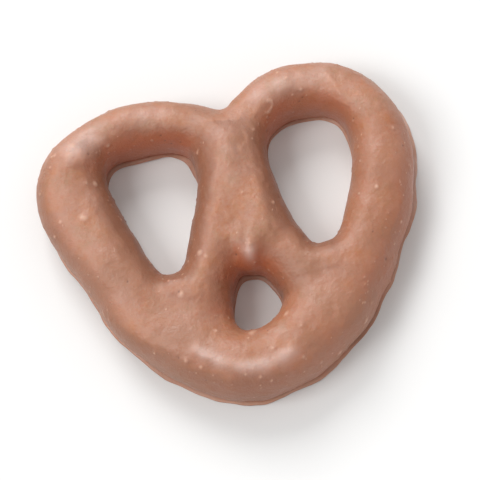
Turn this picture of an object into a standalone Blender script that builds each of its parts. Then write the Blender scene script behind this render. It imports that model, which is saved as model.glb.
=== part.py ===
"""Milk-chocolate covered mini twist pretzel, lying on its flat base.

One rope is bent into a heart, crosses itself in the middle and comes down on the
bottom arc on both sides of a small third hole.  The chocolate coat runs the
crossing and all the joints together, so the real thing is one closed body: the
rope's route and thickness are set by a few named stations, and the coat is a
smooth skin worked out round the rope by a function.

Units: the stations are in millimetres, the finished mesh is in metres, +Z up,
base on z = 0, heart's notch towards +Y.
"""
import math

import bmesh
import bpy
import numpy as np

# ---------------------------------------------------------------- named sizes (mm)
MM = 0.001

# Rope stations of one half of the heart: distance from the heart's axis, place
# along the axis, half width of the coated rope, height of its top above the base.
END_ON_ARC = (3.6, -8.2, 1.95, 4.2)     # the rope's end, buried in the arc
LEG_LOW = (4.05, -5.9, 1.82, 4.5)
LEG = (3.1, -3.5, 1.95, 4.75)           # leg beside the small bottom hole
TWIST_LOW = (1.80, -0.9, 2.15, 5.10)    # the twist spreads into the two legs
TWIST = (1.10, 1.8, 2.05, 5.20)         # thickest place of the pretzel
BAND = (0.80, 4.6, 1.78, 5.00)          # centre band between the two large holes
NOTCH_TURN = (1.25, 7.65, 1.80, 4.6)    # the rope turns out of the notch
LOBE_IN = (3.7, 8.92, 1.86, 4.4)
LOBE_TOP = (6.9, 9.38, 1.84, 4.4)
SHOULDER = (9.95, 8.25, 1.85, 4.55)
SIDE = (11.55, 5.0, 2.30, 4.9)          # widest place
ARM = (10.6, 0.4, 2.45, 4.9)
ARM_LOW = (8.95, -3.1, 2.45, 4.8)
ARC_SIDE = (6.0, -7.5, 2.45, 4.8)
ARC_BOTTOM = (0.0, -10.58, 2.40, 4.9)    # foot of the heart

HALF = (END_ON_ARC, LEG_LOW, LEG, TWIST_LOW, TWIST, BAND, NOTCH_TURN, LOBE_IN,
        LOBE_TOP, SHOULDER, SIDE, ARM, ARM_LOW, ARC_SIDE)

# Chocolate that fills the forks of the rope: sideways, along, half width, height
WEBS = ((0.12, -1.92, 1.32, 4.9),       # tongue above the small hole
        (5.80, -4.10, 1.20, 4.5),       # where the right leg meets the arm
        (-5.85, -3.95, 1.20, 4.5),      # where the left leg meets the arm
        (-10.15, 7.20, 0.85, 4.5))       # inside the bend of the left shoulder

# What makes this pretzel uneven
TIP_SHIFT = -1.25        # the foot of the heart sits left of the axis
TIP_REACH = 3.0          # how far up from the foot that shift fades out
LOBE_RISE = 0.30         # the right lobe stands higher than the left one
BAND_LEAN = 0.35         # the centre band leans to the right towards the notch
LEG_LEAN = 0.15          # both legs and the small hole sit a little to the left
ARM_UNLIKE = 0.09        # the left arm is thicker, the right arm slimmer
# and how each half differs there: farther out, farther up, thicker
LEFT_UNLIKE = {LOBE_TOP: (0.0, 0.10, -0.05), SHOULDER: (0.80, 0.20, -0.20),
               SIDE: (0.32, 0.20, 0.25), ARM: (-0.20, 0.0, -0.05), ARM_LOW: (0.12, -0.05, 0.09),
               LEG: (0.15, 0.0, -0.05), LEG_LOW: (-0.15, 0.0, 0.18)}
RIGHT_UNLIKE = {NOTCH_TURN: (0.0, -0.10, 0.0), LOBE_IN: (0.0, 0.35, -0.04), LOBE_TOP: (0.0, 0.0, 0.05),
                SHOULDER: (0.0, -0.15, 0.0), ARM: (0.12, 0.0, 0.06), ARC_SIDE: (0.08, -0.06, 0.08),
                LEG_LOW: (0.15, 0.0, -0.14)}

# Coat
BLEND = 0.46             # how far the coat runs joints together
CENTRE = 0.42            # height of the widest level, as a part of the rope's height
UNDER = 1.6              # how steep the sides stay below the widest level
SQUARE = 2.4             # exponent of the section: 2 is an ellipse, more is boxier
INSET = 0.045            # the skin lies this far inside the blobs' joint measure
WAVE = 0.10              # slow unevenness of the coat
# side wall below the skin: height, how far it stands out; the coat ran down and
# set as a thin rim round the base, with a faint groove above it
FOOT = ((1.00, 0.00), (0.72, -0.01), (0.46, 0.02), (0.28, 0.14), (0.12, 0.24), (0.0, 0.18))
ROPE_STEP = 0.6          # spacing of the points worked out along the rope
CELL = 0.70              # size of the skin's faces


# ---------------------------------------------------------------- the rope's route
def stations():
    """All stations of the rope: end, right half, foot of the heart, left half, end."""
    def ramp(t):
        return min(1.0, max(0.0, t))

    def side(s, sign):
        u, y, w, h = s
        out, up, thicker = (RIGHT_UNLIKE if sign > 0.0 else LEFT_UNLIKE).get(s, (0.0, 0.0, 0.0))
        x = sign * (u + out)
        if u < 5.0 and y < 8.0:                 # band, twist and leg
            x += BAND_LEAN * ramp((y + 1.0) / 5.0) - LEG_LEAN * ramp(-(y + 2.0) / 2.0)
        else:                                   # lobe, arm and arc
            x += TIP_SHIFT * math.exp(-((y - ARC_BOTTOM[1]) / TIP_REACH) ** 2)
            y += LOBE_RISE * sign * ramp((y - 2.0) / 6.0) * (ramp((u - 5.2) / 2.0) or -0.4)
        w *= 1.0 - ARM_UNLIKE * sign * ramp((u - 7.0) / 3.0) * ramp((8.0 - y) / 2.0)
        return (x, y + up, w + thicker, h)
    right = [side(s, 1.0) for s in HALF]
    left = [side(s, -1.0) for s in reversed(HALF)]
    foot = (TIP_SHIFT, ARC_BOTTOM[1], ARC_BOTTOM[2], ARC_BOTTOM[3])
    return np.array(right + [foot] + left)


def smooth_route(points, step):
    """Centripetal Catmull-Rom curve through the stations, resampled at even steps."""
    p = np.vstack([2 * points[0] - points[1], points, 2 * points[-1] - points[-2]])
    fine = []
    for i in range(1, len(p) - 2):
        p0, p1, p2, p3 = p[i - 1], p[i], p[i + 1], p[i + 2]
        t0 = 0.0
        t1 = t0 + math.sqrt(np.linalg.norm((p1 - p0)[:2]))
        t2 = t1 + math.sqrt(np.linalg.norm((p2 - p1)[:2]))
        t3 = t2 + math.sqrt(np.linalg.norm((p3 - p2)[:2]))
        for t in np.linspace(t1, t2, 24, endpoint=False):
            a1 = (t1 - t) / (t1 - t0) * p0 + (t - t0) / (t1 - t0) * p1
            a2 = (t2 - t) / (t2 - t1) * p1 + (t - t1) / (t2 - t1) * p2
            a3 = (t3 - t) / (t3 - t2) * p2 + (t - t2) / (t3 - t2) * p3
            b1 = (t2 - t) / (t2 - t0) * a1 + (t - t0) / (t2 - t0) * a2
            b2 = (t3 - t) / (t3 - t1) * a2 + (t - t1) / (t3 - t1) * a3
            fine.append((t2 - t) / (t2 - t1) * b1 + (t - t1) / (t2 - t1) * b2)
    fine.append(p[-2])
    fine = np.array(fine)
    run = np.concatenate([[0.0], np.cumsum(np.linalg.norm(np.diff(fine[:, :2], axis=0), axis=1))])
    at = np.linspace(0.0, run[-1], int(run[-1] / step) + 1)
    return np.stack([np.interp(at, run, fine[:, k]) for k in range(fine.shape[1])], axis=1)


# ---------------------------------------------------------------- the coat
def blobs(rope):
    """What the coat is worked out from: place, half width, height and weight of
    the blobs along the rope, and of the webs in its forks."""
    step = np.linalg.norm(rope[1, :2] - rope[0, :2])
    weight = np.log(step / np.sqrt(2.0 * math.pi * BLEND * rope[:, 2]))
    line = np.column_stack([rope, weight])
    return np.vstack([line] + [(*web, 0.0) for web in WEBS])


def wave(p):
    """Slow unevenness of the skin."""
    x, y, z = p[:, 0], p[:, 1], p[:, 2]
    return (np.sin(0.83 * x + 0.35 * y + 0.4) * np.cos(0.71 * y - 0.28 * x + 1.3)
            + 0.55 * np.sin(1.37 * y + 0.62 * x + 0.5 * z + 2.1)
            + 0.45 * np.cos(1.52 * x - 0.57 * y - 0.6 * z + 0.7)) * WAVE / 1.4


def coat(p, blob):
    """Signed measure of the coat (0 on its skin, negative inside) and its slope.

    Every blob is as wide and tall as the rope is there, and the measure runs all
    of them together."""
    value, slope = np.empty(len(p)), np.empty((len(p), 3))
    a, high, weight = blob[:, 2], blob[:, 3], blob[:, 4]
    zc = CENTRE * high
    for i in range(0, len(p), 4096):
        q = p[i:i + 4096]
        dx, dy, dz = (q[:, k:k + 1] - c for k, c in enumerate((blob[:, 0], blob[:, 1], zc)))
        plan = np.maximum(np.hypot(dx, dy) / a, 1e-6)
        reach = np.where(dz > 0.0, high - zc, -UNDER * zc)
        tall = np.maximum(dz / reach, 1e-6)
        near = (plan ** SQUARE + tall ** SQUARE) ** (1.0 / SQUARE)
        e = weight - (near - 1.0) * a / BLEND
        top = e.max(axis=1, keepdims=True)
        share = np.exp(e - top)
        total = share.sum(axis=1, keepdims=True)
        value[i:i + 4096] = -BLEND * (top + np.log(total))[:, 0]
        share /= total
        flat = near ** (1.0 - SQUARE)
        ring = share * flat * plan ** (SQUARE - 2.0) / a
        slope[i:i + 4096, 0] = (ring * dx).sum(axis=1)
        slope[i:i + 4096, 1] = (ring * dy).sum(axis=1)
        slope[i:i + 4096, 2] = (share * flat * a * tall ** (SQUARE - 1.0) / reach).sum(axis=1)
    return value + INSET - wave(p), slope


def onto_skin(p, blob, rounds, stand_out=0.0, level=False):
    """Moves points along the measure's slope until they lie on the skin."""
    for _ in range(rounds):
        f, g = coat(p, blob)
        if level:
            g[:, 2] = 0.0
        n2 = np.maximum((g * g).sum(axis=1), 0.2)
        p = p - np.clip((f - stand_out) / n2, -0.4, 0.4)[:, None] * g
    return p


# ---------------------------------------------------------------- scene set-up
def clear():
    for ob in list(bpy.data.objects):
        bpy.data.objects.remove(ob, do_unlink=True)


def collection(name):
    c = bpy.data.collections.new(name)
    bpy.context.scene.collection.children.link(c)
    return c


def finish(name, colour, roughness):
    mat = bpy.data.materials.new(name)
    mat.use_nodes = True
    shader = mat.node_tree.nodes["Principled BSDF"]
    shader.inputs["Base Color"].default_value = (*colour, 1.0)
    shader.inputs["Roughness"].default_value = roughness
    shader.inputs["Metallic"].default_value = 0.0
    return mat


def coords(mesh):
    c = np.empty(len(mesh.vertices) * 3)
    mesh.vertices.foreach_get("co", c)
    return c.reshape(-1, 3)


def set_coords(mesh, c):
    mesh.vertices.foreach_set("co", c.astype(np.float32).ravel())
    mesh.update()


def evaluated(ob, name, into):
    """A new plain mesh object from an object's modifiers or curve."""
    bpy.context.view_layer.update()
    deps = bpy.context.evaluated_depsgraph_get()
    mesh = bpy.data.meshes.new_from_object(ob.evaluated_get(deps), depsgraph=deps)
    new = bpy.data.objects.new(name, mesh)
    new.matrix_world = ob.matrix_world.copy()
    into.objects.link(new)
    bpy.data.objects.remove(ob, do_unlink=True)
    return new


# ---------------------------------------------------------------- building
def rope_tube(rope, into):
    """The rope as a tube of varying thickness, the rough body under the skin."""
    curve = bpy.data.curves.new("rope", "CURVE")
    curve.dimensions = "3D"
    curve.bevel_depth = MM
    curve.bevel_resolution = 3
    curve.use_fill_caps = True
    line = rope[::2]
    spline = curve.splines.new("POLY")
    spline.points.add(len(line) - 1)
    for point, (x, y, w, h) in zip(spline.points, line):
        point.co = (x * MM, y * MM, CENTRE * h * MM, 1.0)
        point.radius = w
    ob = bpy.data.objects.new("rope", curve)
    into.objects.link(ob)
    tube = evaluated(ob, "rope_tube", into)
    bm = bmesh.new()
    bm.from_mesh(tube.data)
    bmesh.ops.remove_doubles(bm, verts=bm.verts, dist=0.00001)
    bm.to_mesh(tube.data)
    bm.free()
    return tube


def relaxed(body, times, into):
    relax = body.modifiers.new("relax", "SMOOTH")
    relax.factor = 0.5
    relax.iterations = times
    return evaluated(body, body.name, into)


def skin(body, blob, into):
    """Even faces all round the rope, fitted to the coat, twice over."""
    for _ in range(2):
        remesh = body.modifiers.new("even faces", "REMESH")
        remesh.mode = "VOXEL"
        remesh.voxel_size = CELL * MM
        remesh.adaptivity = 0.0
        body = evaluated(body, "pretzel", into)
        for times, rounds in ((4, 6), (2, 3)):
            body = relaxed(body, times, into)
            set_coords(body.data, onto_skin(coords(body.data) / MM, blob, rounds) * MM)
    return body


def foot(body, blob):
    """Cuts the skin off low down and leads it to the flat base over the foot rim."""
    bm = bmesh.new()
    bm.from_mesh(body.data)
    first = FOOT[0][0]
    cut = bmesh.ops.bisect_plane(bm, geom=bm.verts[:] + bm.edges[:] + bm.faces[:],
                                 plane_co=(0, 0, first * MM), plane_no=(0, 0, 1),
                                 dist=0.01 * MM, clear_inner=True)
    ring = [g for g in cut["geom_cut"] if isinstance(g, bmesh.types.BMVert)]
    ring.sort(key=lambda v: v.co[:])
    bmesh.ops.remove_doubles(bm, verts=ring, dist=0.4 * CELL * MM)
    rim = [e for e in bm.edges if e.is_boundary]
    for height, out in FOOT:
        if height != first:
            new = bmesh.ops.extrude_edge_only(bm, edges=rim)["geom"]
            rim = [e for e in new if isinstance(e, bmesh.types.BMEdge) and e.is_boundary]
        row = list(dict.fromkeys(v for e in rim for v in e.verts))
        q = np.array([v.co[:] for v in row]) / MM
        q[:, 2] = height
        q = onto_skin(q, blob, 4, stand_out=out, level=True)
        for v, c in zip(row, q):
            v.co = c * MM
    bmesh.ops.triangle_fill(bm, use_beauty=True, use_dissolve=False, edges=rim)
    bmesh.ops.recalc_face_normals(bm, faces=bm.faces)
    bm.to_mesh(body.data)
    bm.free()


def main():
    clear()
    parts = collection("chocolate_covered_pretzel")
    rope = smooth_route(stations(), ROPE_STEP)
    blob = blobs(rope)
    body = skin(rope_tube(rope, parts), blob, parts)
    foot(body, blob)
    body.name = "pretzel"
    body.data.name = "pretzel"
    p = coords(body.data)
    low, high = p.min(axis=0), p.max(axis=0)
    p[:, 0] -= (low[0] + high[0]) / 2.0
    p[:, 1] -= (low[1] + high[1]) / 2.0
    set_coords(body.data, p)
    body.data.shade_smooth()
    body.data.set_sharp_from_angle(angle=math.radians(50.0))
    body.data.materials.clear()
    body.data.materials.append(finish("milk_chocolate", (0.44, 0.235, 0.155), 0.42))


main()
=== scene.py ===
"""Looks of the milk-chocolate covered pretzel: fine skin, finish, light and camera.

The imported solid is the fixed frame.  The fine skin repeats its rope and coat by the
same functions at a much smaller face size, adds the small relief of a real coat
(lumps, ripples, grains, pinholes, the rim where the coat ran out on the flat base,
the hollowed underside), and stands in the solid's place.
Lengths are in millimetres until the finished mesh is put into the scene in metres.
"""

import math

import bmesh
import bpy
import numpy as np
from mathutils import Matrix, Vector, kdtree
from mathutils.geometry import delaunay_2d_cdt

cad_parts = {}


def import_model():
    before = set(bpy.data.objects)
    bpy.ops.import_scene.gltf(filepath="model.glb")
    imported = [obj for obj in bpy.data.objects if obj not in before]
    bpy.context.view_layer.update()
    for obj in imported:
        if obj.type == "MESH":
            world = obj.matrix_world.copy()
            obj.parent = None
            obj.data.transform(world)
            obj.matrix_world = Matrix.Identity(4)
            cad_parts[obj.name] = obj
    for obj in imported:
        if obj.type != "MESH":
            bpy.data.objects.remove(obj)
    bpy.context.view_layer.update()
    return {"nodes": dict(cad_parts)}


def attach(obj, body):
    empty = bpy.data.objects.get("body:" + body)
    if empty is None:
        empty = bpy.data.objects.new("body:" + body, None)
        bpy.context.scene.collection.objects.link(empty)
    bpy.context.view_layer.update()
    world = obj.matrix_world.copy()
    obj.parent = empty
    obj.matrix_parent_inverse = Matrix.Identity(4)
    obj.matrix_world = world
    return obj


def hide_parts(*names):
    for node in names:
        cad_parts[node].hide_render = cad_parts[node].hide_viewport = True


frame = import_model()

MM = 0.001

# ---------------------------------------------------------------- rope (as in the solid)
END_ON_ARC = (3.6, -8.2, 1.95, 4.2)
LEG_LOW = (4.05, -5.9, 1.82, 4.5)
LEG = (3.1, -3.5, 1.95, 4.75)
TWIST_LOW = (1.80, -0.9, 2.15, 5.10)
TWIST = (1.10, 1.8, 2.05, 5.20)
BAND = (0.80, 4.6, 1.78, 5.00)
NOTCH_TURN = (1.25, 7.65, 1.80, 4.6)
LOBE_IN = (3.7, 8.92, 1.86, 4.4)
LOBE_TOP = (6.9, 9.38, 1.84, 4.4)
SHOULDER = (9.95, 8.25, 1.85, 4.55)
SIDE = (11.55, 5.0, 2.30, 4.9)
ARM = (10.6, 0.4, 2.45, 4.9)
ARM_LOW = (8.95, -3.1, 2.45, 4.8)
ARC_SIDE = (6.0, -7.5, 2.45, 4.8)
ARC_BOTTOM = (0.0, -10.58, 2.40, 4.9)
HALF = (END_ON_ARC, LEG_LOW, LEG, TWIST_LOW, TWIST, BAND, NOTCH_TURN, LOBE_IN,
        LOBE_TOP, SHOULDER, SIDE, ARM, ARM_LOW, ARC_SIDE)
WEBS = ((0.12, -1.92, 1.32, 4.9), (5.80, -4.10, 1.20, 4.5), (-5.85, -3.95, 1.20, 4.5),
        (-10.15, 7.20, 0.85, 4.5))
TIP_SHIFT, TIP_REACH = -1.25, 3.0
LOBE_RISE, BAND_LEAN, LEG_LEAN, ARM_UNLIKE = 0.30, 0.35, 0.15, 0.09
LEFT_UNLIKE = {LOBE_TOP: (0.0, 0.10, -0.05), SHOULDER: (0.80, 0.20, -0.20),
               SIDE: (0.32, 0.20, 0.25), ARM: (-0.20, 0.0, -0.05), ARM_LOW: (0.12, -0.05, 0.09),
               LEG: (0.15, 0.0, -0.05), LEG_LOW: (-0.15, 0.0, 0.18)}
RIGHT_UNLIKE = {NOTCH_TURN: (0.0, -0.10, 0.0), LOBE_IN: (0.0, 0.35, -0.04), LOBE_TOP: (0.0, 0.0, 0.05),
                SHOULDER: (0.0, -0.15, 0.0), ARM: (0.12, 0.0, 0.06), ARC_SIDE: (0.08, -0.06, 0.08),
                LEG_LOW: (0.15, 0.0, -0.14)}
BLEND, CENTRE, UNDER, SQUARE, INSET, WAVE = 0.46, 0.42, 1.6, 2.4, 0.045, 0.10
ROPE_STEP = 0.6

# ---------------------------------------------------------------- fine skin
ROUGH_CELL = 0.70        # faces of the first rough skin
FINE_CELL = 0.29         # faces before the last halving
CUT = 1.00               # below this height the wall is built row by row
# wall rows down to the rim that the coat left as it ran out on the flat base: height,
# how far the wall stands out, share of the rim's width, how much the row belongs to
# the rim and to the crease above it, which set only the rim's painted highlight and
# the crease's painted shade
WALL = ((1.00, 0.00, 0.0, 0.0, 0.0), (0.90, 0.00, 0.0, 0.0, 0.0), (0.80, -0.01, 0.0, 0.0, 0.0),
        (0.71, -0.02, 0.0, 0.0, 0.0), (0.62, -0.02, 0.0, 0.0, 0.0), (0.54, -0.03, 0.0, 0.0, 0.2),
        (0.47, -0.04, 0.0, 0.0, 0.5), (0.41, -0.05, 0.0, 0.0, 1.0), (0.365, -0.04, 0.05, 0.1, 1.0),
        (0.335, -0.01, 0.15, 0.4, 0.6), (0.315, 0.0, 0.32, 0.8, 0.2), (0.30, 0.0, 0.52, 1.0, 0.0),
        (0.285, 0.0, 0.74, 1.0, 0.0), (0.255, 0.0, 0.91, 1.0, 0.0), (0.21, 0.0, 0.99, 1.0, 0.0),
        (0.15, 0.0, 1.0, 1.0, 0.0), (0.09, 0.0, 0.97, 0.8, 0.0), (0.04, 0.0, 0.90, 0.5, 0.0),
        (0.0, 0.0, 0.78, 0.2, 0.0))
RIM = 0.27               # width of the rim
RIM_HOLE = 0.20          # and inside the holes
RIM_RIGHT = 0.18         # how much wider it is along the right arm
BASE_CELL = 0.30         # faces of the underside
HOLLOW = 0.13            # how far the underside is drawn up between its rims


def stations():
    def ramp(t):
        return min(1.0, max(0.0, t))

    def side(s, sign):
        u, y, w, h = s
        out, up, thicker = (RIGHT_UNLIKE if sign > 0.0 else LEFT_UNLIKE).get(s, (0.0, 0.0, 0.0))
        x = sign * (u + out)
        if u < 5.0 and y < 8.0:
            x += BAND_LEAN * ramp((y + 1.0) / 5.0) - LEG_LEAN * ramp(-(y + 2.0) / 2.0)
        else:
            x += TIP_SHIFT * math.exp(-((y - ARC_BOTTOM[1]) / TIP_REACH) ** 2)
            y += LOBE_RISE * sign * ramp((y - 2.0) / 6.0) * (ramp((u - 5.2) / 2.0) or -0.4)
        w *= 1.0 - ARM_UNLIKE * sign * ramp((u - 7.0) / 3.0) * ramp((8.0 - y) / 2.0)
        return (x, y + up, w + thicker, h)
    right = [side(s, 1.0) for s in HALF]
    left = [side(s, -1.0) for s in reversed(HALF)]
    foot = (TIP_SHIFT, ARC_BOTTOM[1], ARC_BOTTOM[2], ARC_BOTTOM[3])
    return np.array(right + [foot] + left)


def smooth_route(points, step):
    p = np.vstack([2 * points[0] - points[1], points, 2 * points[-1] - points[-2]])
    fine = []
    for i in range(1, len(p) - 2):
        p0, p1, p2, p3 = p[i - 1], p[i], p[i + 1], p[i + 2]
        t0 = 0.0
        t1 = t0 + math.sqrt(np.linalg.norm((p1 - p0)[:2]))
        t2 = t1 + math.sqrt(np.linalg.norm((p2 - p1)[:2]))
        t3 = t2 + math.sqrt(np.linalg.norm((p3 - p2)[:2]))
        for t in np.linspace(t1, t2, 24, endpoint=False):
            a1 = (t1 - t) / (t1 - t0) * p0 + (t - t0) / (t1 - t0) * p1
            a2 = (t2 - t) / (t2 - t1) * p1 + (t - t1) / (t2 - t1) * p2
            a3 = (t3 - t) / (t3 - t2) * p2 + (t - t2) / (t3 - t2) * p3
            b1 = (t2 - t) / (t2 - t0) * a1 + (t - t0) / (t2 - t0) * a2
            b2 = (t3 - t) / (t3 - t1) * a2 + (t - t1) / (t3 - t1) * a3
            fine.append((t2 - t) / (t2 - t1) * b1 + (t - t1) / (t2 - t1) * b2)
    fine.append(p[-2])
    fine = np.array(fine)
    run = np.concatenate([[0.0], np.cumsum(np.linalg.norm(np.diff(fine[:, :2], axis=0), axis=1))])
    at = np.linspace(0.0, run[-1], int(run[-1] / step) + 1)
    return np.stack([np.interp(at, run, fine[:, k]) for k in range(fine.shape[1])], axis=1)


def blobs(rope):
    step = np.linalg.norm(rope[1, :2] - rope[0, :2])
    weight = np.log(step / np.sqrt(2.0 * math.pi * BLEND * rope[:, 2]))
    return np.vstack([np.column_stack([rope, weight])] + [(*web, 0.0) for web in WEBS])


def wave(p):
    x, y, z = p[:, 0], p[:, 1], p[:, 2]
    return (np.sin(0.83 * x + 0.35 * y + 0.4) * np.cos(0.71 * y - 0.28 * x + 1.3)
            + 0.55 * np.sin(1.37 * y + 0.62 * x + 0.5 * z + 2.1)
            + 0.45 * np.cos(1.52 * x - 0.57 * y - 0.6 * z + 0.7)) * WAVE / 1.4


def coat(p, blob):
    """Signed measure of the coat (0 on its skin, negative inside) and its slope."""
    value, slope = np.empty(len(p)), np.empty((len(p), 3))
    field = np.floor(p[:, :2] / 5.0).astype(int)
    key = field[:, 0] * 1000 + field[:, 1]
    order = np.argsort(key, kind="stable")
    cuts = np.flatnonzero(np.diff(key[order])) + 1
    for part in np.split(order, cuts):
        middle = (field[part[0]] + 0.5) * 5.0
        close = blob[np.hypot(blob[:, 0] - middle[0], blob[:, 1] - middle[1]) < 13.0]
        if len(close) == 0:
            close = blob
        a, high, weight = close[:, 2], close[:, 3], close[:, 4]
        zc = CENTRE * high
        for i in range(0, len(part), 4096):
            at = part[i:i + 4096]
            q = p[at]
            dx, dy, dz = (q[:, k:k + 1] - c for k, c in enumerate((close[:, 0], close[:, 1], zc)))
            plan = np.maximum(np.hypot(dx, dy) / a, 1e-6)
            reach = np.where(dz > 0.0, high - zc, -UNDER * zc)
            tall = np.maximum(dz / reach, 1e-6)
            near = (plan ** SQUARE + tall ** SQUARE) ** (1.0 / SQUARE)
            e = weight - (near - 1.0) * a / BLEND
            top = e.max(axis=1, keepdims=True)
            share = np.exp(e - top)
            total = share.sum(axis=1, keepdims=True)
            value[at] = -BLEND * (top + np.log(total))[:, 0]
            share /= total
            flat = near ** (1.0 - SQUARE)
            ring = share * flat * plan ** (SQUARE - 2.0) / a
            slope[at, 0] = (ring * dx).sum(axis=1)
            slope[at, 1] = (ring * dy).sum(axis=1)
            slope[at, 2] = (share * flat * a * tall ** (SQUARE - 1.0) / reach).sum(axis=1)
    return value + INSET - wave(p), slope


def onto_skin(p, blob, rounds, stand_out=None, level=False):
    """Moves points along the measure's slope until they stand out of the plain coat
    as much as stand_out says for their places."""
    for _ in range(rounds):
        f, g = coat(p, blob)
        if stand_out:
            f = f - stand_out(p)
        if level:
            g[:, 2] = 0.0
        n2 = np.maximum((g * g).sum(axis=1), 0.2)
        p = p - np.clip(f / n2, -0.4, 0.4)[:, None] * g
    return p


def where_the_solid_lies(blob):
    """How far the finished solid was moved sideways when it was centred."""
    points = coords(frame["nodes"]["pretzel"].data) / MM
    points = points[points[:, 2] > 1.2]
    move = np.zeros(3)
    for _ in range(6):
        f, g = coat(points - move, blob)
        move[:2] += np.linalg.lstsq(g[:, :2], f, rcond=None)[0]
    print("solid moved by", np.round(move[:2], 3), "mm, coat off by",
          round(float(np.abs(coat(points - move, blob)[0]).max()), 4), "mm")
    return move


# ---------------------------------------------------------------- small relief
CROWN = 0.085            # height of the soft ridge on the bottom arc
TONGUE = 0.04            # and of the one on the tongue above the small hole
TONGUE_TIP = (0.50, -2.25, 0.74, 0.24)   # place, reach and height of its tip
CREASE = 0.05            # depth of the creases beside the tongue
# the creases' routes and single marks, in the frame
TONGUE_LINE = ((0.45, -1.0), (0.50, -2.6))
CREASE_LEFT = ((-0.75, -0.9), (-0.90, -1.8), (-0.95, -2.5), (-1.25, -3.4))
CREASE_RIGHT = ((1.45, -1.2), (1.48, -2.2), (1.60, -3.0), (1.80, -3.9))
# bumps and ring-like bubbles: place, radius, height
BUMPS = ((-10.98, 8.17, 5.02, 0.30, 0.10), (-10.47, 8.76, 4.92, 0.22, 0.07),
         (-10.12, 5.92, 4.58, 0.20, 0.07), (-9.63, 5.85, 4.28, 0.22, 0.08),
         (-10.89, 3.31, 4.91, 0.24, 0.09), (7.66, -8.36, 2.95, 0.26, 0.09),
         (5.32, -10.14, 2.59, 0.26, 0.10), (-0.49, -7.95, 4.11, 0.28, 0.08),
         (2.17, -7.12, 4.38, 0.20, 0.06), (-2.95, -1.20, 4.86, 0.20, 0.06),
         (-2.64, -1.62, 4.96, 0.18, 0.05), (-4.96, -3.98, 4.86, 0.18, 0.05))
RINGS = ((4.20, 8.86, 4.25, 0.36, 0.035), (3.50, 9.00, 4.30, 0.16, 0.03),
         (-3.35, 6.55, 0.33, 0.20, 0.07), (-3.15, 6.15, 0.33, 0.16, 0.06), (-3.05, 5.75, 0.33, 0.14, 0.06))
SCRATCH = ((8.93, 10.39), (9.25, 9.45), (9.63, 8.41))
# places with painted shade: place, reach, how much
SHADED = ((-9.9, -2.4, 2.3, 1.0), (-1.3, 9.2, 1.7, 1.0), (-6.6, -7.7, 2.3, 1.0), (4.0, -4.9, 2.0, 1.0),
          (6.5, -8.2, 2.5, 1.0), (3.0, -10.2, 1.3, 0.8), (10.6, 1.5, 1.7, 0.6), (9.3, -3.2, 2.0, 0.7))
# places with a painted highlight: from, to, half width, how much
HIGHLIGHT_PATCHES = (((-10.8, 8.0), (-9.4, 8.9), 1.0, 0.80), ((3.2, 9.2), (8.2, 9.9), 0.8, 0.55),
           ((-6.2, 9.5), (-3.6, 9.6), 0.8, 0.45), ((0.0, 3.0), (1.2, 7.5), 1.0, 0.22))
# places where the rim reaches out farther: place, reach, how much
RIM_TONGUES = ((-3.5, 5.5, 0.9, 0.22), (-4.2, 0.2, 0.6, 0.14), (6.2, -2.0, 0.9, 0.14),
               (-7.8, -7.6, 2.5, 0.06), (3.6, -12.0, 3.0, 0.06), (-13.5, 4.5, 2.6, -0.13))
LATTICE = np.random.default_rng(41).uniform(-1.0, 1.0, (8, 32, 32, 32))


def noise(p, cell, kind):
    """Smooth unevenness between about -1 and 1 whose lumps are `cell` mm apart."""
    q = p / cell + 17.3 * (kind + 1)
    base = np.floor(q).astype(int)
    t = q - base
    t = t * t * t * (t * (6.0 * t - 15.0) + 10.0)
    grid = LATTICE[kind % 8]
    total = np.zeros(len(p))
    for i in (0, 1):
        for j in (0, 1):
            for k in (0, 1):
                w = (np.where(i, t[:, 0], 1 - t[:, 0]) * np.where(j, t[:, 1], 1 - t[:, 1])
                     * np.where(k, t[:, 2], 1 - t[:, 2]))
                total += w * grid[(base[:, 0] + i) % 32, (base[:, 1] + j) % 32, (base[:, 2] + k) % 32]
    return total * 1.6


def smooth_step(t):
    t = np.clip(t, 0.0, 1.0)
    return t * t * (3.0 - 2.0 * t)


def from_line(p, line):
    """Distance sideways from a line through the given places."""
    least = np.full(len(p), 1e9)
    q = p[:, :2]
    for a, b in zip(line[:-1], line[1:]):
        way = b - a
        t = np.clip(((q - a) @ way) / (way @ way), 0.0, 1.0)
        least = np.minimum(least, np.hypot(*(q - a - t[:, None] * way).T))
    return least


def inside(p, loop):
    """True for the places that a closed line runs round."""
    within = np.zeros(len(p), dtype=bool)
    x, y = p[:, 0], p[:, 1]
    for (ax, ay), (bx, by) in zip(loop, np.roll(loop, -1, axis=0)):
        crosses = (ay > y) != (by > y)
        if crosses.any():
            within ^= crosses & (x < ax + (y - ay) * (bx - ax) / (by - ay if by != ay else 1.0))
    return within


def relief(p, lines):
    """How far the real coat stands out of the plain one: lumps, the crown's soft
    ridge, the two creases beside the tongue above the small hole."""
    wall = p * np.array([1.0, 1.0, 0.18])        # on the walls lumps are drawn out downwards
    out = (0.045 * noise(wall, 2.7, 0) + 0.022 * noise(wall, 1.25, 1)
           + 0.011 * noise(p, 0.62, 2) + 0.006 * noise(p, 0.33, 3))
    high = smooth_step((p[:, 2] - 2.5) / 1.2)
    out += CROWN * high * np.exp(-(from_line(p, lines["crown"]) / 0.42) ** 2)
    out += TONGUE * smooth_step((-0.6 - p[:, 1]) / 1.5) * np.exp(-(from_line(p, lines["tongue"]) / 0.55) ** 2)
    tip = lines["tip"]
    away = ((p[:, 0] - tip[0]) ** 2 + (p[:, 1] - tip[1]) ** 2) / TONGUE_TIP[2] ** 2
    out += TONGUE_TIP[3] * np.exp(-away) * smooth_step((p[:, 2] - 1.4) / 1.6)
    for side in ("crease left", "crease right"):
        start = lines[side][0][1]
        along = smooth_step((start - p[:, 1]) / 1.4) * smooth_step((p[:, 2] - 1.2) / 1.0)
        out -= CREASE * along * np.exp(-(from_line(p, lines[side]) / 0.50) ** 2)
    return out


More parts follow.
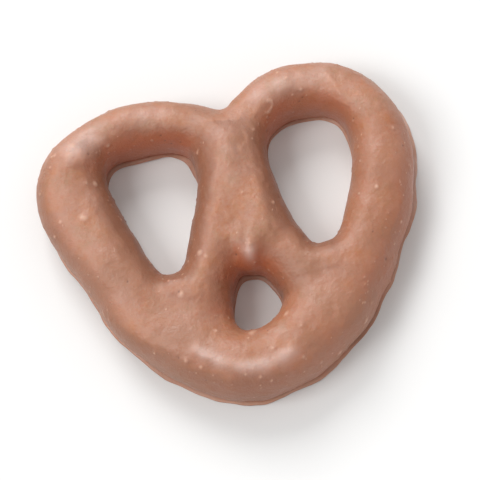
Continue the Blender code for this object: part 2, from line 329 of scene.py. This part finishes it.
def right_side(p):
    """1 on the outer side of the right arm and lobe, 0 elsewhere."""
    return smooth_step((p[:, 0] - 10.6) / 2.2) * smooth_step((p[:, 1] + 4.5) / 4.0)


def spots(points, normals, count, seed, small, large, wanted):
    """Seeded places on the skin with their radii; `wanted` gives each point's chance."""
    rng = np.random.default_rng(seed)
    chance = wanted(points, normals)
    pick = rng.choice(len(points), size=count, replace=False, p=chance / chance.sum())
    size = small + (large - small) * rng.random(count) ** 2.2
    return np.column_stack([points[pick], size])


def raised(tree, count, marks, share):
    """Sum of soft domes of the marks' radii, their height being `share` of the radius."""
    out, touch = np.zeros(count), np.zeros(count)
    for x, y, z, r in marks:
        for _, i, d in tree.find_range((x, y, z), 2.2 * r):
            dome = math.exp(-(d / r) ** 2 * 1.6)
            out[i] = max(out[i], dome * r * share)
            touch[i] = max(touch[i], dome)
    return out, touch


# ---------------------------------------------------------------- mesh helpers
def coords(mesh):
    c = np.empty(len(mesh.vertices) * 3)
    mesh.vertices.foreach_get("co", c)
    return c.reshape(-1, 3)


def normals_of(mesh):
    n = np.empty(len(mesh.vertices) * 3)
    mesh.vertices.foreach_get("normal", n)
    return n.reshape(-1, 3)


def set_coords(mesh, c):
    mesh.vertices.foreach_set("co", c.astype(np.float32).ravel())
    mesh.update()


def evaluated(ob, name):
    bpy.context.view_layer.update()
    deps = bpy.context.evaluated_depsgraph_get()
    mesh = bpy.data.meshes.new_from_object(ob.evaluated_get(deps), depsgraph=deps)
    new = bpy.data.objects.new(name, mesh)
    bpy.context.scene.collection.objects.link(new)
    bpy.data.objects.remove(ob, do_unlink=True)
    return new


def rope_tube(rope):
    curve = bpy.data.curves.new("rope", "CURVE")
    curve.dimensions = "3D"
    curve.bevel_depth = 1.0
    curve.bevel_resolution = 3
    curve.use_fill_caps = True
    line = rope[::2]
    spline = curve.splines.new("POLY")
    spline.points.add(len(line) - 1)
    for point, (x, y, w, h) in zip(spline.points, line):
        point.co = (x, y, CENTRE * h, 1.0)
        point.radius = w
    ob = bpy.data.objects.new("rope", curve)
    bpy.context.scene.collection.objects.link(ob)
    tube = evaluated(ob, "rope_tube")
    bm = bmesh.new()
    bm.from_mesh(tube.data)
    bmesh.ops.remove_doubles(bm, verts=bm.verts, dist=0.01)
    bm.to_mesh(tube.data)
    bm.free()
    return tube


def relaxed(body, times):
    relax = body.modifiers.new("relax", "SMOOTH")
    relax.factor = 0.5
    relax.iterations = times
    return evaluated(body, body.name)


def skin(body, blob, shape):
    """Even faces all round the rope, fitted to the coat, finer and finer."""
    for cell, steps in ((ROUGH_CELL, ((4, 6), (2, 3))), (ROUGH_CELL, ((4, 6), (2, 3))),
                        (FINE_CELL, ((4, 3), (2, 2)))):
        remesh = body.modifiers.new("even faces", "REMESH")
        remesh.mode = "VOXEL"
        remesh.voxel_size = cell
        remesh.adaptivity = 0.0
        body = evaluated(body, "coat")
        for times, rounds in steps:
            body = relaxed(body, times)
            set_coords(body.data, onto_skin(coords(body.data), blob, rounds))
    halve = body.modifiers.new("halve", "SUBSURF")
    halve.levels = halve.render_levels = 1
    body = evaluated(body, "coat")
    set_coords(body.data, onto_skin(coords(body.data), blob, 3, shape))
    return body


def rim_width(p, loop):
    """Width of the rim: narrow in the holes, uneven, with a few tongues."""
    flat = p * np.array([1.0, 1.0, 0.0])
    wide = np.where(inside(p, loop), RIM_HOLE, RIM + RIM_RIGHT * right_side(p))
    for x, y, reach, more in RIM_TONGUES:
        wide = wide + more * np.exp(-((p[:, 0] - x) ** 2 + (p[:, 1] - y) ** 2) / reach ** 2)
    return wide * np.clip(1.0 + 0.16 * noise(flat, 3.0, 4) + 0.08 * noise(flat, 0.9, 5), 0.6, 1.4)


def wall_and_base(body, blob, shape, loop):
    """Cuts the skin at CUT, builds the wall and rim row by row, and the underside."""
    bm = bmesh.new()
    bm.from_mesh(body.data)
    # layers for the rim's painted highlight and for the painted shade in the crease above it
    rim_highlight = bm.verts.layers.float.new("rim")
    crease_shade = bm.verts.layers.float.new("crease")
    cut = bmesh.ops.bisect_plane(bm, geom=bm.verts[:] + bm.edges[:] + bm.faces[:],
                                 plane_co=(0, 0, CUT), plane_no=(0, 0, 1),
                                 dist=0.002, clear_inner=True)
    ring = [g for g in cut["geom_cut"] if isinstance(g, bmesh.types.BMVert)]
    ring.sort(key=lambda v: v.co[:])
    bmesh.ops.remove_doubles(bm, verts=ring, dist=0.2 * FINE_CELL)
    rim = [e for e in bm.edges if e.is_boundary]
    for n, (height, out, share, belongs, crease) in enumerate(WALL):
        if n:
            new = bmesh.ops.extrude_edge_only(bm, edges=rim)["geom"]
            rim = [e for e in new if isinstance(e, bmesh.types.BMEdge) and e.is_boundary]
        row = list(dict.fromkeys(v for e in rim for v in e.verts))
        q = np.array([v.co[:] for v in row])
        q[:, 2] = height
        thick = np.clip(1.0 + 0.30 * noise(q * np.array([1.0, 1.0, 0.0]), 2.6, 6), 0.6, 1.4)
        low = smooth_step((0.55 - height) / 0.2)
        q[:, 2] = height * (1.0 + (thick - 1.0) * low)

        def stand_out(at):
            return out + share * rim_width(at, loop) + (1.0 - 0.6 * low) * shape(at)
        q = onto_skin(q, blob, 4, stand_out, level=True)
        for v, c, right in zip(row, q, right_side(q)):
            v.co = c
            v[rim_highlight] = belongs
            v[crease_shade] = crease * (1.0 - 0.7 * right)
    underside(bm, rim, blob)
    bmesh.ops.recalc_face_normals(bm, faces=bm.faces)
    print("open edges:", sum(not e.is_manifold for e in bm.edges))
    bm.to_mesh(body.data)
    bm.free()


def underside(bm, rim, blob):
    """Fills the base between the rims with even faces."""
    row = list(dict.fromkeys(v for e in rim for v in e.verts))
    number = {v: i for i, v in enumerate(row)}
    edges = [(number[e.verts[0]], number[e.verts[1]]) for e in rim]
    steps = np.arange(-60, 61)
    x, y = np.meshgrid(steps * BASE_CELL, steps * BASE_CELL * 0.866, indexing="ij")
    x = x + 0.5 * BASE_CELL * (np.abs(steps) % 2)
    inner = np.stack([x.ravel(), y.ravel(), np.zeros(x.size)], axis=1)
    inner = inner[coat(inner, blob)[0] < -0.16]
    places = [v.co.xy for v in row] + [Vector(c[:2]) for c in inner]
    flat, _, faces, origin, _, _ = delaunay_2d_cdt(places, edges, [], 0, 1e-7, True)
    verts, place_of = [], {}
    for k, c in enumerate(flat):
        for i in origin[k]:
            place_of[i] = k
        known = [i for i in origin[k] if i < len(row)]
        verts.append(row[known[0]] if known else bm.verts.new((c.x, c.y, 0.0)))
    walls = {frozenset((place_of[a], place_of[b])) for a, b in edges}
    # faces that hang together without crossing a rim are all base, all hole or all outside
    beside = {}
    for i, f in enumerate(faces):
        for a, b in zip(f, f[1:] + f[:1]):
            beside.setdefault(frozenset((a, b)), []).append(i)
    middle = np.array([[sum(flat[k][j] for k in f) / 3.0 for j in (0, 1)] + [0.0] for f in faces])
    value = coat(middle, blob)[0]
    seen = [False] * len(faces)
    for start in range(len(faces)):
        if seen[start]:
            continue
        group, queue = [], [start]
        seen[start] = True
        while queue:
            i = queue.pop()
            group.append(i)
            for a, b in zip(faces[i], faces[i][1:] + faces[i][:1]):
                edge = frozenset((a, b))
                if edge in walls:
                    continue
                for j in beside[edge]:
                    if not seen[j]:
                        seen[j] = True
                        queue.append(j)
        if np.median(value[group]) < 0.0:
            for i in group:
                bm.faces.new([verts[k] for k in faces[i]])


def single_marks(p, n, move):
    """Marks that stand by themselves: bumps, ring-like bubbles and one scratch."""
    up, pale, dark = np.zeros(len(p)), np.zeros(len(p)), np.zeros(len(p))
    q = p + move
    uneven = 1.0 + 0.30 * noise(q, 0.42, 4)

    def off(x, y, z, turn):
        """Distance from a mark, which is a little oval and uneven."""
        d = q - (x, y, z)
        along = d[:, 0] * math.cos(turn) + d[:, 1] * math.sin(turn)
        return np.sqrt((d ** 2).sum(axis=1) - 0.45 * along ** 2) * uneven
    for k, (x, y, z, radius, height) in enumerate(BUMPS):
        d = off(x, y, z, 2.4 * k)
        dome = np.exp(-(d / radius) ** 2)
        up += height * dome
        # the bumps' paleness is a painted highlight
        pale = np.maximum(pale, 1.1 * dome)
    for k, (x, y, z, radius, height) in enumerate(RINGS):
        d = off(x, y, z, 2.4 * k + 1.0)
        ring = np.exp(-((d - radius) / (0.42 * radius)) ** 2) * np.clip(0.6 + 0.9 * noise(q, 0.5, 6), 0.1, 1.0)
        up += height * (ring - 0.9 * np.exp(-(d / (0.55 * radius)) ** 2))
        # a painted highlight on the ring's ridge and painted shade in its pit
        pale = np.maximum(pale, 0.75 * ring)
        dark = np.maximum(dark, 0.5 * np.exp(-(d / (0.5 * radius)) ** 2))
    streak = np.exp(-(from_line(q, np.array(SCRATCH)) / 0.13) ** 2) * smooth_step((q[:, 2] - 3.5) / 0.5)
    up += 0.035 * streak
    return up, np.maximum(pale, 0.5 * streak), dark


def main_piece():
    rope = smooth_route(stations(), ROPE_STEP)
    blob = blobs(rope)
    move = where_the_solid_lies(blob)
    half = len(rope) // 2
    turns = np.hypot(np.abs(rope[:, 0]) - NOTCH_TURN[0], rope[:, 1] - NOTCH_TURN[1])
    loop = rope[int(np.argmin(turns[:half])):half + int(np.argmin(turns[half:])) + 1, :2]
    lines = {"crown": rope[half - 4:half + 9, :2] + (0.25, -0.60),
             "tongue": np.array(TONGUE_LINE) - move[:2],
             "tip": np.array(TONGUE_TIP[:2]) - move[:2],
             "crease left": np.array(CREASE_LEFT) - move[:2],
             "crease right": np.array(CREASE_RIGHT) - move[:2]}

    def shape(at):
        return relief(at, lines)
    body = skin(rope_tube(rope), blob, shape)
    wall_and_base(body, blob, shape, loop)
    me = body.data

    # underside drawn up a little between its rims
    p = coords(me)
    under = p[:, 2] < 1e-5
    level = p[under].copy()
    level[:, 2] = 1.0
    depth = -coat(level, blob)[0]
    up = HOLLOW * smooth_step(depth / 1.3) * (0.75 + 0.35 * noise(level, 1.9, 7))
    up += 0.012 * smooth_step(depth / 0.6) * (1.0 + noise(level, 0.7, 2))
    p[under, 2] = np.maximum(up, 0.0)
    set_coords(me, p)

    # how enclosed a place is by the walls round it, and how steep it is there; the first carries the painted shade
    # and reddened bounce light on the hole walls
    n = normals_of(me)
    flat = n * np.array([1.0, 1.0, 0.0])
    length = np.linalg.norm(flat, axis=1)
    flat /= np.maximum(length, 1e-6)[:, None]
    enclosed = np.zeros(len(p))
    for far in (1.3, 2.6):
        f, _ = coat(p + flat * far, blob)
        enclosed += 0.5 * np.clip(1.0 - f / (0.8 * far), 0.0, 1.0)
    enclosed *= smooth_step((length - 0.25) / 0.5)
    steep = smooth_step((length - 0.35) / 0.5)
    in_hole = inside(p, loop).astype(float)
    facing = smooth_step((0.35 - flat[:, 1]) / 1.15)           # the walls on the notch's side most
    enclosed = np.maximum(enclosed * (0.30 + 0.70 * facing), in_hole * facing * smooth_step((length - 0.12) / 0.90))
    # painted shade on the slopes round the holes and down the outer walls, most on the left
    slope_shade = in_hole * smooth_step((length - 0.05) / 0.60) * (1.0 - 0.95 * enclosed)
    slope_shade *= 1.0 - 0.8 * smooth_step((p[:, 0] - 6.0) / 1.5)
    slope_shade *= 1.0 - 0.8 * smooth_step((-5.6 - p[:, 1]) / 1.0)
    left = smooth_step((flat @ np.array([-0.80, -0.60, 0.0]) - 0.05) / 0.7)
    slope_shade += (1.0 - in_hole) * smooth_step((length - 0.40) / 0.45) * (0.18 + 0.55 * left)
    # painted shade: darker, redder walls facing the lower right, and the lower right of the pretzel darker all over
    lee_shade = smooth_step((flat @ np.array([0.60, -0.80, 0.0]) * length - 0.15) / 0.6) * (1.0 - enclosed)
    lee_shade = np.maximum(0.55 * lee_shade, smooth_step((p[:, 0] * 0.80 - p[:, 1] * 0.45 - 4.5) / 7.0) * (0.45 + 0.55 * lee_shade))

    enclosed *= 1.0 - 0.30 * smooth_step((p[:, 0] - 4.0) / 2.5)

    # painted highlights and sheen: the crown of the arc, the tongue's edge, a few tops and the right flank with its
    # rim
    high = smooth_step((p[:, 2] - 3.6) / 1.0)
    painted_highlight = 0.9 * np.exp(-(from_line(p, lines["crown"]) / 0.50) ** 2) * high
    for start, end, wide, much in HIGHLIGHT_PATCHES:
        painted_highlight += much * np.exp(-(from_line(p, np.array((start, end))) / wide) ** 2) * high
    edge = np.array([0.50, -1.95, 4.9]) - move
    painted_highlight += 1.1 * np.exp(-((p[:, 0] - edge[0]) / 0.44) ** 2 - ((p[:, 1] - edge[1]) / 0.66) ** 2) * high
    flank = right_side(p) * smooth_step((p[:, 1] + 2.5) / 3.0)
    painted_highlight += 0.50 * flank * smooth_step((3.6 - p[:, 2]) / 1.4) * smooth_step((p[:, 2] - 0.9) / 1.0)
    painted_highlight += 0.70 * flank * smooth_step((0.55 - p[:, 2]) / 0.2) * smooth_step((n[:, 2] + 0.5) / 0.5)
    painted_highlight *= np.clip(0.85 + 0.35 * noise(p, 0.8, 5), 0.2, 1.2)

    # painted shade on the places listed in SHADED
    shade = np.zeros(len(p))
    for x, y, reach, much in SHADED:
        shade = np.maximum(shade, much * np.exp(-((p[:, 0] - x) ** 2 + (p[:, 1] - y) ** 2) / reach ** 2))
    shade *= np.clip(0.9 + 0.3 * noise(p, 1.1, 2), 0.4, 1.2)

    tree = kdtree.KDTree(len(p))
    for i, c in enumerate(p):
        tree.insert(c, i)
    tree.balance()
    show = np.where(p[:, 2] > 0.45, 1.0, 0.0)

    def grain_chance(q, m):
        return show * (0.25 + 1.5 * steep * (1.0 - enclosed) + 0.8 * enclosed)
    grains = spots(p, n, 620, 7, 0.08, 0.22, grain_chance)
    # the grains are small bumps, their paleness a painted highlight
    up, speck = raised(tree, len(p), grains, 0.34)
    speck *= np.clip(0.65 + 0.5 * noise(p, 1.3, 3), 0.15, 1.0)

    def hole_chance(q, m):
        return show * (0.15 + 0.6 * steep + 2.5 * enclosed)
    holes = spots(p, n, 46, 9, 0.10, 0.20, hole_chance)
    # the pinholes are small dents, their darkness painted shade
    down, pin = raised(tree, len(p), holes, 0.42)
    own, pale, dark = single_marks(p, n, move)
    p = p + n * (up - down + own)[:, None]
    p[:, 2] = np.maximum(p[:, 2], 0.0)
    speck, pin = np.maximum(speck, pale), np.maximum(pin, dark)

    set_coords(me, (p + move) * MM)
    for name, value in (("speck", speck), ("pin", pin), ("enclosed", enclosed), ("steep", steep), ("lee_shade", lee_shade),
                        ("painted_highlight", painted_highlight), ("shade", shade), ("slope_shade", slope_shade)):
        layer = me.attributes.new(name, "FLOAT", "POINT")
        layer.data.foreach_set("value", value.astype(np.float32))
    me.shade_smooth()
    body.name = me.name = "pretzel_coat"
    print("fine skin:", len(me.vertices), "points,",
          sum(len(f.vertices) - 2 for f in me.polygons), "triangles")
    return body


# ---------------------------------------------------------------- finish
class Nodes:
    """Short ways to add shader nodes to one material."""

    def __init__(self, name):
        self.mat = bpy.data.materials.new(name)
        self.mat.use_nodes = True
        self.tree = self.mat.node_tree
        self.shader = self.tree.nodes["Principled BSDF"]

    def link(self, a, b):
        self.tree.links.new(a, b)

    def add(self, kind, **settings):
        node = self.tree.nodes.new(kind)
        for key, value in settings.items():
            setattr(node, key, value)
        return node

    def noise(self, where, scale, detail=3.0, rough=0.5, offset=(0.0, 0.0, 0.0)):
        move = self.add("ShaderNodeMapping")
        move.inputs["Location"].default_value = offset
        self.link(where, move.inputs["Vector"])
        n = self.add("ShaderNodeTexNoise")
        n.inputs["Scale"].default_value = scale
        n.inputs["Detail"].default_value = detail
        n.inputs["Roughness"].default_value = rough
        self.link(move.outputs["Vector"], n.inputs["Vector"])
        return n.outputs["Fac"]

    def spread(self, value, low, high, to_low=0.0, to_high=1.0):
        r = self.add("ShaderNodeMapRange")
        for key, v in zip(("From Min", "From Max", "To Min", "To Max"), (low, high, to_low, to_high)):
            r.inputs[key].default_value = v
        self.link(value, r.inputs["Value"])
        return r.outputs["Result"]

    def maths(self, operation, a, b=None):
        m = self.add("ShaderNodeMath", operation=operation)
        for socket, v in zip(m.inputs, (a, b)):
            if v is None:
                continue
            if isinstance(v, (int, float)):
                socket.default_value = v
            else:
                self.link(v, socket)
        return m.outputs["Value"]

    def mix(self, factor, a, b):
        m = self.add("ShaderNodeMix", data_type="RGBA")
        self.link(factor, m.inputs["Factor"])
        for socket, v in ((m.inputs[6], a), (m.inputs[7], b)):
            if isinstance(v, tuple):
                socket.default_value = (*v, 1.0)
            else:
                self.link(v, socket)
        return m.outputs[2]

    def attribute(self, name):
        a = self.add("ShaderNodeAttribute", attribute_name=name)
        return a.outputs["Fac"]


MILK = (0.386, 0.166, 0.092)          # the coat's usual brown
PALE = (0.424, 0.202, 0.130)          # faintly greyed patches
WARM = (0.412, 0.158, 0.062)          # more orange patches
DULL = (0.335, 0.162, 0.080)          # slightly olive patches
DEEP = (0.372, 0.085, 0.027)          # darker flecks, and painted shade in the crease above the rim and on the lower right
HOLE = (0.470, 0.118, 0.045)          # painted shade and reddened bounce light on the walls of the holes
SHADE = (0.318, 0.136, 0.074)         # painted shade on a few places
SLOPE = (0.232, 0.087, 0.044)         # painted shade on the slopes round the holes and down the outer walls
GRAIN = (0.600, 0.360, 0.260)         # pale grains and the rim, their paleness a painted highlight
HIGHLIGHT_TINT = (0.640, 0.455, 0.400)         # painted highlights and sheen
PIN = (0.170, 0.060, 0.035)           # painted shade in the pinholes and the rings' pits


def milk_chocolate():
    m = Nodes("milk_chocolate_satin")
    where = m.add("ShaderNodeTexCoord").outputs["Object"]
    scale = m.add("ShaderNodeVectorMath", operation="SCALE")
    scale.inputs["Scale"].default_value = 1.0 / MM
    m.link(where, scale.inputs[0])
    mm = scale.outputs["Vector"]

    cloud = m.noise(mm, 0.26, 3.0, 0.5)
    patch = m.noise(mm, 0.75, 4.0, 0.55, (31.0, 7.0, 3.0))
    other = m.noise(mm, 0.55, 3.0, 0.5, (13.0, 29.0, 5.0))
    fine = m.noise(mm, 2.3, 5.0, 0.65, (3.0, 51.0, 9.0))
    flecks = m.noise(mm, 3.4, 3.0, 0.6, (23.0, 5.0, 41.0))
    colour = m.mix(m.spread(cloud, 0.38, 0.66), MILK, PALE)
    colour = m.mix(m.spread(patch, 0.44, 0.68, 0.0, 0.85), colour, WARM)
    colour = m.mix(m.spread(other, 0.50, 0.70, 0.0, 0.8), colour, DULL)
    colour = m.mix(m.spread(fine, 0.40, 0.66, 0.0, 0.65), colour, PALE)
    colour = m.mix(m.spread(flecks, 0.50, 0.72, 0.0, 0.30), colour, DEEP)
    # painted shade and reddened bounce light on the hole walls
    colour = m.mix(m.spread(m.attribute("enclosed"), 0.0, 1.0, 0.0, 0.76), colour, HOLE)
    # painted shade on the lower right
    colour = m.mix(m.spread(m.attribute("lee_shade"), 0.0, 1.0, 0.0, 0.52), colour, DEEP)
    # painted shade in the crease above the rim
    colour = m.mix(m.spread(m.attribute("crease"), 0.1, 1.0, 0.0, 0.50), colour, DEEP)
    # painted highlight on the rim's flat top
    colour = m.mix(m.spread(m.attribute("rim"), 0.2, 1.0, 0.0, 0.50), colour, GRAIN)

    # painted shade on the slopes round the holes and the outer walls
    colour = m.mix(m.spread(m.attribute("slope_shade"), 0.0, 1.0, 0.0, 0.85), colour, SLOPE)
    # painted shade on the listed places
    colour = m.mix(m.spread(m.attribute("shade"), 0.0, 1.0, 0.0, 0.85), colour, SHADE)
    # painted highlights and sheen
    colour = m.mix(m.spread(m.attribute("painted_highlight"), 0.0, 1.0, 0.0, 0.60), colour, HIGHLIGHT_TINT)

    # very small pale grains, more of them on the walls; their paleness is a painted highlight
    cells = m.add("ShaderNodeTexVoronoi", feature="F1")
    cells.inputs["Scale"].default_value = 1.5
    m.link(mm, cells.inputs["Vector"])
    size = m.add("ShaderNodeSeparateColor")
    m.link(cells.outputs["Color"], size.inputs["Color"])
    few = m.maths("ADD", size.outputs["Red"], m.spread(m.attribute("steep"), 0.0, 1.0, 0.0, 0.22))
    dot = m.maths("SUBTRACT", m.spread(few, 0.84, 1.2, 0.0, 0.26), cells.outputs["Distance"])
    dots = m.spread(dot, 0.0, 0.09)
    faint = m.maths("MULTIPLY", dots, m.spread(size.outputs["Green"], 0.0, 1.0, 0.1, 0.6))
    grains = m.maths("MAXIMUM", m.spread(m.attribute("speck"), 0.25, 0.95, 0.0, 0.75), faint)
    colour = m.mix(grains, colour, GRAIN)
    # painted shade in the pinholes and the rings' pits
    colour = m.mix(m.spread(m.attribute("pin"), 0.3, 0.9, 0.0, 0.8), colour, PIN)
    m.link(colour, m.shader.inputs["Base Color"])

    rough = m.maths("ADD", m.spread(patch, 0.3, 0.7, 0.40, 0.49), m.spread(fine, 0.3, 0.7, -0.04, 0.06))
    m.link(m.maths("ADD", rough, m.maths("MULTIPLY", grains, 0.08)), m.shader.inputs["Roughness"])
    m.shader.inputs["IOR"].default_value = 1.46
    m.shader.inputs["Specular IOR Level"].default_value = 0.75
    m.shader.inputs["Subsurface Weight"].default_value = 0.25
    m.shader.inputs["Subsurface Radius"].default_value = (1.0, 0.42, 0.24)
    m.shader.inputs["Subsurface Scale"].default_value = 0.0008

    peel = m.noise(mm, 1.9, 5.0, 0.60, (11.0, 3.0, 27.0))
    grit = m.noise(mm, 6.5, 3.0, 0.6, (5.0, 17.0, 2.0))
    rub = m.spread(m.attribute("steep"), 0.0, 1.0, 0.22, 0.55)
    height = m.maths("ADD", peel, m.maths("MULTIPLY", grit, rub))
    height = m.maths("ADD", height, m.maths("MULTIPLY", dots, 0.5))
    bump = m.add("ShaderNodeBump")
    bump.inputs["Strength"].default_value = 0.75
    bump.inputs["Distance"].default_value = 0.11 * MM
    m.link(height, bump.inputs["Height"])
    m.link(bump.outputs["Normal"], m.shader.inputs["Normal"])
    return m.mat


# ---------------------------------------------------------------- stage, light, camera
def floor():
    m = Nodes("pale_floor")
    m.shader.inputs["Base Color"].default_value = (0.80, 0.80, 0.795, 1.0)
    m.shader.inputs["Roughness"].default_value = 0.85
    m.shader.inputs["Specular IOR Level"].default_value = 0.2
    bm = bmesh.new()
    bmesh.ops.create_grid(bm, x_segments=2, y_segments=2, size=4.0)
    mesh = bpy.data.meshes.new("floor")
    bm.to_mesh(mesh)
    bm.free()
    ob = bpy.data.objects.new("floor", mesh)
    ob.location = (0.0, 0.0, -0.00001)
    mesh.materials.append(m.mat)
    bpy.context.scene.collection.objects.link(ob)


def soft_light(name, towards, distance, size, power):
    """A square soft light that stands off in a direction and looks at the pretzel."""
    data = bpy.data.lights.new(name, "AREA")
    data.shape = "SQUARE"
    data.size = size
    data.energy = power
    ob = bpy.data.objects.new(name, data)
    way = Vector(towards).normalized()
    ob.location = way * distance
    ob.rotation_mode = "QUATERNION"
    ob.rotation_quaternion = (-way).to_track_quat("-Z", "Y")
    bpy.context.scene.collection.objects.link(ob)
    return ob


# image axes of the photograph in the pretzel's frame: it looks down at 74 degrees,
# from the tip's side, with the heart's axis turned a little to the left
RIGHT = Vector((0.9764, -0.2084, -0.0573))
UP = Vector((0.2161, 0.9384, 0.2696))
FRAME_WIDTH = 35.5 * MM
LENS, SENSOR = 250.0, 36.0


def camera():
    data = bpy.data.cameras.new("camera")
    data.lens, data.sensor_width = LENS, SENSOR
    back = RIGHT.cross(UP).normalized()
    right = (RIGHT - back * RIGHT.dot(back)).normalized()
    up = back.cross(right)
    ob = bpy.data.objects.new("camera", data)
    distance = FRAME_WIDTH * LENS / SENSOR
    aim = Vector((0.0, 0.0, 2.2 * MM)) + right * CAMERA_SHIFT[0] * MM + up * CAMERA_SHIFT[1] * MM
    turn = Matrix((right, up, back)).transposed().to_4x4()
    ob.matrix_world = Matrix.Translation(aim + back * distance) @ turn
    data.clip_start, data.clip_end = 0.01, 20.0
    bpy.context.scene.collection.objects.link(ob)
    bpy.context.scene.camera = ob


CAMERA_SHIFT = (0.09, -0.15)


def world():
    """Soft surroundings: dimmer overhead, pale at the horizon, where the floor ends."""
    w = bpy.data.worlds.new("studio")
    w.use_nodes = True
    nodes, links = w.node_tree.nodes, w.node_tree.links
    way = nodes.new("ShaderNodeTexCoord")
    split = nodes.new("ShaderNodeSeparateXYZ")
    links.new(way.outputs["Generated"], split.inputs["Vector"])
    band = nodes.new("ShaderNodeMapRange")
    band.interpolation_type = "SMOOTHSTEP"
    for key, v in (("From Min", 0.03), ("From Max", 0.14), ("To Min", HORIZON), ("To Max", OVERHEAD)):
        band.inputs[key].default_value = v
    links.new(split.outputs["Z"], band.inputs["Value"])
    links.new(band.outputs["Result"], nodes["Background"].inputs["Strength"])
    nodes["Background"].inputs["Color"].default_value = (1.0, 1.0, 1.0, 1.0)
    bpy.context.scene.world = w


HORIZON, OVERHEAD = 1.0, 0.62

piece = main_piece()
piece.data.materials.clear()
piece.data.materials.append(milk_chocolate())
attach(piece, "root")
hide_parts("pretzel")

floor()
world()
soft_light("key", (-0.60, -0.04, 0.78), 3.0, 1.4, 38.0)
soft_light("back", (-0.15, 0.74, 0.66), 3.0, 1.4, 52.0)
camera()
view = bpy.context.scene.view_settings
view.view_transform = "Standard"
view.look = "None"
